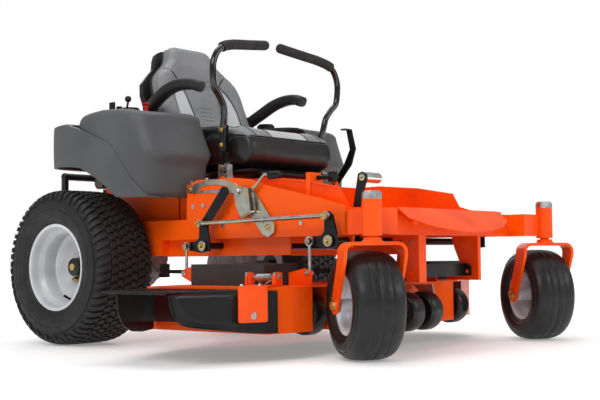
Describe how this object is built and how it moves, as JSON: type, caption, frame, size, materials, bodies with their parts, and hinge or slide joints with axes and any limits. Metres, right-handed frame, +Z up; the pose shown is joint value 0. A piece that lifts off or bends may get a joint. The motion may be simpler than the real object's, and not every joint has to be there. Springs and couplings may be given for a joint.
{
  "type": "zero turn mower",
  "caption": "Rider mower with a side-discharge deck under a welded frame, swivelling front casters, large drive wheels and twin steering levers",
  "frame": {"origin": "on the ground at the middle of the mower's footprint", "axes": "-Y is forward, +X to the operator's left, +Z up; the discharge side is -X"},
  "size_m": [1.7, 1.8943, 1.1995],
  "materials": {
    "frame_orange": "gloss powder coat",
    "frame_black": "satin black powder coat",
    "fender_grey": "grained moulded plastic",
    "black_plastic": "satin moulded plastic",
    "cover_grey": "grained moulded plastic",
    "zinc": "zinc plated",
    "steel": "bare steel",
    "cast_aluminium": "as cast",
    "engine_black": "black engine enamel",
    "silver_rim": "silver painted steel",
    "tyre": "black rubber",
    "belt": "fabric covered rubber",
    "roller": "smooth moulded plastic",
    "seat_vinyl": "two-tone grey vinyl, sewn",
    "armrest_vinyl": "black vinyl",
    "red_plastic": "moulded plastic",
    "lever_black": "gloss black"
  },
  "bodies": {
    "chassis": {"main_frame": "frame_orange", "front_axle_beam": "frame_orange", "footwell_pan": "frame_orange", "deck_hangers": "frame_orange", "rear_bumper": "frame_black", "fender_right": "fender_grey", "fender_left": "fender_grey", "engine_block": "engine_black", "blower_housing": "black_plastic", "muffler": "steel", "transaxles": "cast_aluminium", "caps_and_bolts": "zinc", "height_quadrant": "zinc"},
    "front_link": {"front_link": "frame_black"},
    "seat": {"seat_base": "frame_black", "seat_cushion": "seat_vinyl", "seat_back": "seat_vinyl", "seat_shell": "black_plastic"},
    "deck": {"deck_shell": "frame_orange", "deck_fittings": "cast_aluminium", "belt_covers": "cover_grey", "deck_belt": "belt", "deck_hooks": "zinc"},
    "fuel_cap_right": {"fuel_cap_right": "black_plastic"},
    "fuel_cap_left": {"fuel_cap_left": "black_plastic"},
    "height_arm": {"height_arm": "zinc"},
    "height_pin": {"height_pin": "zinc"},
    "armrest_right": {"armrest_right": "armrest_vinyl"},
    "armrest_left": {"armrest_left": "armrest_vinyl"},
    "lever_base_right": {"lever_base_right": "zinc"},
    "lever_base_left": {"lever_base_left": "zinc"},
    "lever_right": {"lever_right": "lever_black"},
    "lever_left": {"lever_left": "lever_black"},
    "deflector": {"deflector": "black_plastic"},
    "blade_right": {"blade_right": "steel"},
    "blade_center": {"blade_center": "steel"},
    "blade_left": {"blade_left": "steel"},
    "scalp_wheel_right": {"scalp_wheel_right": "roller"},
    "scalp_wheel_mid_right": {"scalp_wheel_mid_right": "roller"},
    "scalp_wheel_mid_left": {"scalp_wheel_mid_left": "roller"},
    "scalp_wheel_left": {"scalp_wheel_left": "roller"},
    "rear_lift_shaft": {"rear_lift_shaft": "frame_black"},
    "front_lift_shaft": {"front_lift_shaft": "frame_black"},
    "lift_rods": {"lift_rods": "zinc"},
    "brake_lever": {"brake_lever": "frame_black"},
    "star_knob": {"star_knob": "black_plastic"},
    "throttle": {"throttle": "black_plastic"},
    "choke_knob": {"choke_knob": "black_plastic"},
    "pto_knob": {"pto_knob": "red_plastic"},
    "ignition_key": {"ignition_key": "black_plastic"},
    "fork_right": {"fork_right": "frame_orange"},
    "fork_left": {"fork_left": "frame_orange"},
    "rear_wheel_right": {"rear_tyre_right": "tyre", "rear_rim_right": "silver_rim"},
    "front_wheel_right": {"front_tyre_right": "tyre", "front_rim_right": "silver_rim"},
    "rear_wheel_left": {"rear_tyre_left": "tyre", "rear_rim_left": "silver_rim"},
    "front_wheel_left": {"front_tyre_left": "tyre", "front_rim_left": "silver_rim"}
  },
  "joints": [
    {"name": "rear_wheel_right_spin", "type": "hinge", "parent": "chassis", "child": "rear_wheel_right", "pos_m": [-0.385, 0.52817, 0.286], "axis": [1, 0, 0], "continuous": true},
    {"name": "caster_right_swivel", "type": "hinge", "parent": "chassis", "child": "fork_right", "pos_m": [-0.368, -0.83883, 0.365], "axis": [0, 0, 1], "continuous": true},
    {"name": "front_wheel_right_spin", "type": "hinge", "parent": "fork_right", "child": "front_wheel_right", "pos_m": [-0.33049, -0.77973, 0.165], "axis": [0.8443, -0.5358, 0], "continuous": true},
    {"name": "lever_right_drive", "type": "hinge", "parent": "chassis", "child": "lever_base_right", "pos_m": [-0.118, 0.02117, 0.6], "axis": [1, 0, 0], "range_deg": [-14, 14]},
    {"name": "lever_right_swing_out", "type": "hinge", "parent": "lever_base_right", "child": "lever_right", "pos_m": [-0.118, 0.02117, 0.64], "axis": [0, -1, 0], "range_deg": [0, 25]},
    {"name": "armrest_right_fold", "type": "hinge", "parent": "seat", "child": "armrest_right", "pos_m": [-0.13, 0.42017, 0.893], "axis": [-1, 0, 0], "range_deg": [0, 80]},
    {"name": "fuel_cap_right_turn", "type": "hinge", "parent": "chassis", "child": "fuel_cap_right", "pos_m": [-0.23, 0.41817, 0.87], "axis": [0, 0, 1], "range_deg": [0, 330]},
    {"name": "rear_wheel_left_spin", "type": "hinge", "parent": "chassis", "child": "rear_wheel_left", "pos_m": [0.685, 0.52817, 0.286], "axis": [1, 0, 0], "continuous": true},
    {"name": "caster_left_swivel", "type": "hinge", "parent": "chassis", "child": "fork_left", "pos_m": [0.668, -0.83883, 0.365], "axis": [0, 0, 1], "continuous": true},
    {"name": "front_wheel_left_spin", "type": "hinge", "parent": "fork_left", "child": "front_wheel_left", "pos_m": [0.70551, -0.77973, 0.165], "axis": [0.8443, -0.5358, 0], "continuous": true},
    {"name": "lever_left_drive", "type": "hinge", "parent": "chassis", "child": "lever_base_left", "pos_m": [0.418, 0.02117, 0.6], "axis": [1, 0, 0], "range_deg": [-14, 14]},
    {"name": "lever_left_swing_out", "type": "hinge", "parent": "lever_base_left", "child": "lever_left", "pos_m": [0.418, 0.02117, 0.64], "axis": [0, 1, 0], "range_deg": [0, 25]},
    {"name": "armrest_left_fold", "type": "hinge", "parent": "seat", "child": "armrest_left", "pos_m": [0.43, 0.42017, 0.893], "axis": [-1, 0, 0], "range_deg": [0, 80]},
    {"name": "fuel_cap_left_turn", "type": "hinge", "parent": "chassis", "child": "fuel_cap_left", "pos_m": [0.53, 0.41817, 0.87], "axis": [0, 0, 1], "range_deg": [0, 330]},
    {"name": "seat_tilt", "type": "hinge", "parent": "chassis", "child": "seat", "pos_m": [0.15, -0.07183, 0.604], "axis": [1, 0, 0], "range_deg": [0, 20]},
    {"name": "lift_pedal_push", "type": "hinge", "parent": "chassis", "child": "front_lift_shaft", "pos_m": [0.15, -0.60783, 0.362], "axis": [1, 0, 0], "range_deg": [-16, 16]},
    {"name": "rear_crank_turn", "type": "hinge", "parent": "chassis", "child": "rear_lift_shaft", "pos_m": [0.15, -0.03783, 0.355], "axis": [1, 0, 0], "range_deg": [-16, 16]},
    {"name": "lift_rod_parallel", "type": "hinge", "parent": "rear_lift_shaft", "child": "lift_rods", "pos_m": [0.15, -0.03383, 0.434], "axis": [1, 0, 0], "range_deg": [-16, 16]},
    {"name": "deck_lift", "type": "slide", "parent": "chassis", "child": "deck", "axis": [0, 0, 1], "range_m": [-0.02086, 0.02086]},
    {"name": "front_link_swing", "type": "hinge", "parent": "chassis", "child": "front_link", "pos_m": [0.15, -0.73783, 0.257], "axis": [1, 0, 0], "range_deg": [-7.69, 7.69]},
    {"name": "deflector_raise", "type": "hinge", "parent": "deck", "child": "deflector", "pos_m": [-0.45, -0.47783, 0.25], "axis": [0, 1, 0], "range_deg": [0, 75], "stiffness_Nm_per_rad": 4, "springref_deg": -45.84},
    {"name": "blade_center_spin", "type": "hinge", "parent": "deck", "child": "blade_center", "pos_m": [0.15, -0.39683, 0.107], "axis": [0, 0, 1], "continuous": true},
    {"name": "blade_right_spin", "type": "hinge", "parent": "deck", "child": "blade_right", "pos_m": [-0.297, -0.22883, 0.107], "axis": [0, 0, 1], "continuous": true},
    {"name": "blade_left_spin", "type": "hinge", "parent": "deck", "child": "blade_left", "pos_m": [0.597, -0.26183, 0.107], "axis": [0, 0, 1], "continuous": true},
    {"name": "scalp_wheel_right_spin", "type": "hinge", "parent": "deck", "child": "scalp_wheel_right", "pos_m": [-0.312, -0.53183, 0.13], "axis": [1, 0, 0], "continuous": true},
    {"name": "scalp_wheel_mid_right_spin", "type": "hinge", "parent": "deck", "child": "scalp_wheel_mid_right", "pos_m": [-0.015, -0.69983, 0.13], "axis": [1, 0, 0], "continuous": true},
    {"name": "scalp_wheel_mid_left_spin", "type": "hinge", "parent": "deck", "child": "scalp_wheel_mid_left", "pos_m": [0.088, -0.69983, 0.13], "axis": [1, 0, 0], "continuous": true},
    {"name": "scalp_wheel_left_spin", "type": "hinge", "parent": "deck", "child": "scalp_wheel_left", "pos_m": [0.452, -0.56683, 0.1327], "axis": [1, 0, 0], "continuous": true},
    {"name": "height_arm_turn", "type": "hinge", "parent": "chassis", "child": "height_arm", "pos_m": [-0.25, -0.30983, 0.412], "axis": [1, 0, 0], "range_deg": [0, 8]},
    {"name": "height_pin_pull", "type": "slide", "parent": "height_arm", "child": "height_pin", "axis": [-1, 0, 0], "range_m": [0, 0.045]},
    {"name": "brake_lever_pull", "type": "hinge", "parent": "chassis", "child": "brake_lever", "pos_m": [0.45, -0.03183, 0.6], "axis": [1, 0, 0], "range_deg": [0, 30]},
    {"name": "star_knob_turn", "type": "hinge", "parent": "chassis", "child": "star_knob", "pos_m": [-0.15, -0.50183, 0.577], "axis": [0, 1, 0], "continuous": true},
    {"name": "throttle_push", "type": "hinge", "parent": "chassis", "child": "throttle", "pos_m": [-0.33, 0.32817, 0.845], "axis": [1, 0, 0], "range_deg": [-15, 25]},
    {"name": "choke_pull", "type": "slide", "parent": "chassis", "child": "choke_knob", "axis": [0, 0, 1], "range_m": [0, 0.02]},
    {"name": "pto_pull", "type": "slide", "parent": "chassis", "child": "pto_knob", "axis": [0, 0, 1], "range_m": [0, 0.012]},
    {"name": "ignition_turn", "type": "hinge", "parent": "chassis", "child": "ignition_key", "pos_m": [-0.33, 0.40317, 0.86], "axis": [0, 0, 1], "range_deg": [-40, 40]}
  ],
  "couplings": [
    {"joint": "rear_crank_turn", "follows": "lift_pedal_push", "ratio": 1},
    {"joint": "lift_rod_parallel", "follows": "lift_pedal_push", "ratio": -1},
    {"joint": "deck_lift", "follows": "lift_pedal_push", "m_per_rad": 0.074},
    {"joint": "front_link_swing", "follows": "lift_pedal_push", "ratio": 0.46835},
    {"joint": "blade_right_spin", "follows": "blade_center_spin", "ratio": 1},
    {"joint": "blade_left_spin", "follows": "blade_center_spin", "ratio": 1}
  ]
}
